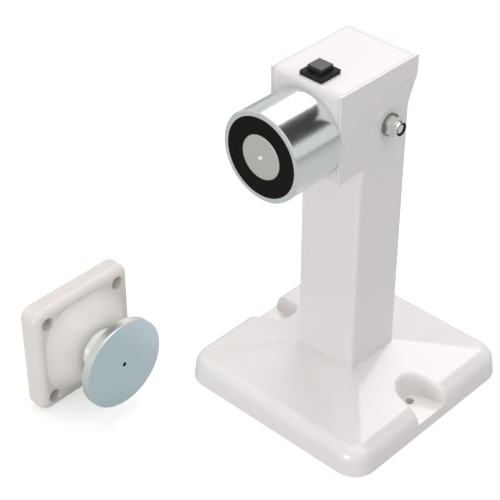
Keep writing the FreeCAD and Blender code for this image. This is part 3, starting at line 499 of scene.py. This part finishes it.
FINISHES = {
    "base_moulding": glossy_moulding(),
    "column_shell": paint,
    "head_cover": paint,
    "magnet_pot": zinc,
    "magnet_core": pole_face,
    "armature_disc": disc_face,
    "cross_bolt": zinc,
    "cross_bolt_washers": washer_shade_zinc,
    "lock_nut": zinc,
    "resin_ring": black_resin(),
    "button_housing": black,
    "button_cap": smooth_black,
    "lock_nut_insert": black,
    "keeper_plate": warm_white,
    "pivot_ball": acetal,
    "socket_seat": nylon,
    "coil_bobbin": nylon,
    "terminal_block": nylon,
    "coil_winding": wound_copper(),
    "button_terminals": brass,
    "terminal_screws": brass,
}
for name, piece in nodes.items():
    piece.data.materials.clear()
    piece.data.materials.append(FINISHES.get(name, steel))
print("finishes:", sorted({slot.name for piece in nodes.values() for slot in piece.data.materials}))

# %% [markdown]
# The screws under the foot and behind the keeper are plain cylinders in CAD. Here they get a pan head and a
# cross recess. One Geometry Nodes tree makes all of them: it takes a turned blank, cuts two crossed slots
# into it and puts a copy on each point. Its sizes are named inputs, so both groups share the tree. Blanks
# and slots are made in millimetres, because a cut comes out cleaner at that size, and the copies are
# brought down to metres.

# %% A tree that sets recessed screws on points
MM = 0.001
SCREW_INPUTS = {
    "Geometry": "NodeSocketGeometry",
    "Blank": "NodeSocketObject",
    "Slot Length": "NodeSocketFloat",
    "Slot Width": "NodeSocketFloat",
    "Slot Depth": "NodeSocketFloat",
    "Turn": "NodeSocketVector",
    "Finish": "NodeSocketMaterial",
}


def new_tree(name):
    tree = bpy.data.node_groups.new(name, "GeometryNodeTree")
    tree.interface.new_socket("Geometry", in_out="OUTPUT", socket_type="NodeSocketGeometry")
    return tree


def end_tree(tree, shape, finish):
    """Gives a tree's shape its finish and makes it the tree's result."""
    dressed = shape.node("GeometryNodeSetMaterial", None, {"Geometry": shape, "Material": finish})
    result = tree.nodes.new("NodeGroupOutput")
    tree.links.new(dressed.socket, result.inputs[0])


def screw_tree():
    tree = new_tree("recessed_screws")
    for name, kind in SCREW_INPUTS.items():
        tree.interface.new_socket(name, in_out="INPUT", socket_type=kind)
    given = tree.nodes.new("NodeGroupInput")
    start = {name: Wire(tree, given.outputs[name]) for name in SCREW_INPUTS}
    add = start["Geometry"].node
    blank = add("GeometryNodeObjectInfo", None, {"Object": start["Blank"]}, "Geometry")
    recess = tree.nodes.new("GeometryNodeMeshBoolean")
    recess.operation = "DIFFERENCE"
    recess.solver = "MANIFOLD"
    tree.links.new(blank.socket, recess.inputs[0])
    double = start["Slot Depth"] * 2
    for long, short in (("Slot Length", "Slot Width"), ("Slot Width", "Slot Length")):
        size = add("ShaderNodeCombineXYZ", None, {0: start[long], 1: start[short], 2: double})
        bar = add("GeometryNodeMeshCube", None, {"Size": size})
        tree.links.new(bar.socket, recess.inputs[1])
    points = add("GeometryNodeMeshToPoints", None, {"Mesh": start["Geometry"]})
    links = {"Points": points, "Instance": Wire(tree, recess.outputs[0]), "Rotation": start["Turn"],
             "Scale": (MM, MM, MM)}
    copies = add("GeometryNodeInstanceOnPoints", None, links)
    whole = add("GeometryNodeRealizeInstances", None, {0: copies})
    end_tree(tree, whole, start["Finish"])
    return tree


SCREW_TREE = screw_tree()
print("screw tree with", len(SCREW_TREE.nodes), "nodes")

# %% [markdown]
# A blank is turned: half its profile is spun about the axis. It has 36 sides, so that none of its edges runs
# through the inner corners of the recess. What a tree makes becomes a plain mesh, which takes the CAD
# group's place on the pedestal's body and keeps the plain steel finish that the tree gave it.

# %% Blanks and stand-ins
MERGE_DISTANCE = 1e-4


def turned_blank(name, profile, sides=36):
    """A closed solid from a half profile of (radius, height) that starts and ends on the axis."""
    shape = bmesh.new()
    line = [shape.verts.new((radius, 0, height)) for radius, height in profile]
    edges = [shape.edges.new(pair) for pair in zip(line, line[1:])]
    bmesh.ops.spin(shape, geom=line + edges, axis=(0, 0, 1), cent=(0, 0, 0), steps=sides, angle=math.tau)
    bmesh.ops.remove_doubles(shape, verts=shape.verts, dist=MERGE_DISTANCE)
    bmesh.ops.recalc_face_normals(shape, faces=shape.faces)
    mesh = bpy.data.meshes.new(name)
    shape.to_mesh(mesh)
    shape.free()
    return new_object(name, mesh)


def stand_in(node, name, maker, *helpers):
    """A piece from what a maker's tree makes, in place of a CAD node of the pedestal."""
    evaluated = maker.evaluated_get(bpy.context.evaluated_depsgraph_get())
    mesh = bpy.data.meshes.new_from_object(evaluated)
    mesh.name = name
    for helper in (maker, *helpers):
        bpy.data.objects.remove(helper)
    piece = new_object(name, mesh)
    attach(piece, "pedestal")
    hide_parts(node)
    print(piece.name, len(mesh.polygons), "faces")
    return piece


# %% [markdown]
# A pan head has a flat top, a round shoulder and a straight edge, and the shank ends in a small bevel. These
# forms are shares of the head's and the shank's own sizes. The places of the screws come from the boxes of
# the CAD groups: four in a rectangle under the foot, and three on a circle behind the keeper.

# %% Two groups of screws
UPRIGHT = (0, 0, 0)
ALONG_X = (0, math.pi / 2, 0)
HEAD_FLAT = 0.7
SHOULDER_OUT = 0.92
SHOULDER_DOWN = 0.4
SHOULDER_HEIGHT = 0.35
SHANK_BEVEL = 0.3
SLOT_LENGTH = 1.1
SLOT_WIDTH = 0.26
SLOT_DEPTH = 0.45


def screw_profile(wide, tall, thin, end):
    """Half of a screw: the radius and height of its head, the radius of its shank, and its length."""
    dome = tall * SHOULDER_HEIGHT
    shoulder = (wide * SHOULDER_OUT, dome * SHOULDER_DOWN)
    bevel = thin * SHANK_BEVEL
    head = [(0, 0), (wide * HEAD_FLAT, 0), shoulder, (wide, dome), (wide, tall)]
    shank = [(thin, tall), (thin, end - bevel), (thin - bevel, end), (0, end)]
    return head + shank


def screws(node, places, turn, head, shank):
    """Screws in place of a CAD group: head and shank are (radius, length), each place is a head's top."""
    wide, tall = head[0] / MM, head[1] / MM
    profile = screw_profile(wide, tall, shank[0] / MM, (head[1] + shank[1]) / MM)
    blank = turned_blank(node + "_blank", profile)
    points = bpy.data.meshes.new(node + "_points")
    points.from_pydata(places, [], [])
    maker = new_object(node + "_maker", points)
    modifier = maker.modifiers.new("screws", "NODES")
    modifier.node_group = SCREW_TREE
    values = {"Blank": blank, "Slot Length": wide * SLOT_LENGTH, "Slot Width": wide * SLOT_WIDTH,
              "Slot Depth": tall * SLOT_DEPTH, "Turn": turn, "Finish": steel}
    for socket in SCREW_TREE.interface.items_tree:
        if socket.in_out == "INPUT" and socket.name in values:
            modifier[socket.identifier] = values[socket.name]
    stand_in(node, node + "_recessed", maker, blank)


FOOT_HEAD = (0.004, 0.0028)
FOOT_SHANK = 0.002
low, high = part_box("foot_screws")
corners = [(x, y, low.z) for x in (low.x + FOOT_HEAD[0], high.x - FOOT_HEAD[0])
           for y in (low.y + FOOT_HEAD[0], high.y - FOOT_HEAD[0])]
screws("foot_screws", corners, UPRIGHT, FOOT_HEAD, (FOOT_SHANK, high.z - low.z - FOOT_HEAD[1]))

RETAINER_HEAD = (0.0023, 0.0014)
RETAINER_SHANK = 0.0013
low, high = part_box("retainer_screws")
plate_low, plate_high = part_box("keeper_plate")
middle = (plate_low + plate_high) / 2
circle = middle.z - low.z - RETAINER_HEAD[0]
ring = [(low.x, middle.y + circle * math.sin(turn), middle.z - circle * math.cos(turn))
        for turn in (0, math.tau / 3, -math.tau / 3)]
screws("retainer_screws", ring, ALONG_X, RETAINER_HEAD, (RETAINER_SHANK, high.x - low.x - RETAINER_HEAD[1]))

# %% [markdown]
# The button's return spring is a helix of round wire. It stands on the floor of its well while the cap comes
# down on it, so in the real button it flattens towards that floor with the button's travel. Here it is made
# at its rest height. Its room under the cap shrinks from the whole height of the well to what the travel
# leaves, and the script works out and prints the share of its height that the spring would keep at full
# travel.

# %% Return spring of the button
SPRING_WIRE = 0.0006
SPRING_PITCH = 0.00085
STEPS_IN_TURN = 40
WIRE_SIDES = 12


def spring_tree(radius, height, finish):
    """A tree that sweeps a round section along a helix."""
    tree = new_tree("round_wire_spring")
    add = Wire(tree, None).node
    helix = {"Resolution": STEPS_IN_TURN, "Rotations": height / SPRING_PITCH, "Start Radius": radius,
             "End Radius": radius, "Height": height}
    line = add("GeometryNodeCurveSpiral", None, helix)
    circle = {"Resolution": WIRE_SIDES, "Radius": SPRING_WIRE / 2}
    section = add("GeometryNodeCurvePrimitiveCircle", None, circle)
    sweep = {"Curve": line, "Profile Curve": section, "Fill Caps": True}
    end_tree(tree, add("GeometryNodeCurveToMesh", None, sweep), finish)
    return tree


low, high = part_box("button_spring")
middle = (low + high) / 2
cap_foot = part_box("button_cap")[0].z
well_floor = low.z - (cap_foot - high.z)
travel = next(joint["range_m"][1] for joint in frame["joints"] if joint["name"] == "button_press")
maker = new_object("button_spring_maker", bpy.data.meshes.new("button_spring_maker"))
modifier = maker.modifiers.new("spring", "NODES")
spring_radius = (high.x - low.x - SPRING_WIRE) / 2
modifier.node_group = spring_tree(spring_radius, high.z - low.z - SPRING_WIRE, steel)
spring = stand_in("button_spring", "button_spring_wire", maker)
spring.data.transform(Matrix.Translation((middle.x, middle.y, low.z + SPRING_WIRE / 2)))
share = 1 - travel / (cap_foot - well_floor)
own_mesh(spring)
print("spring keeps", round(share, 3), "of its height at full travel")
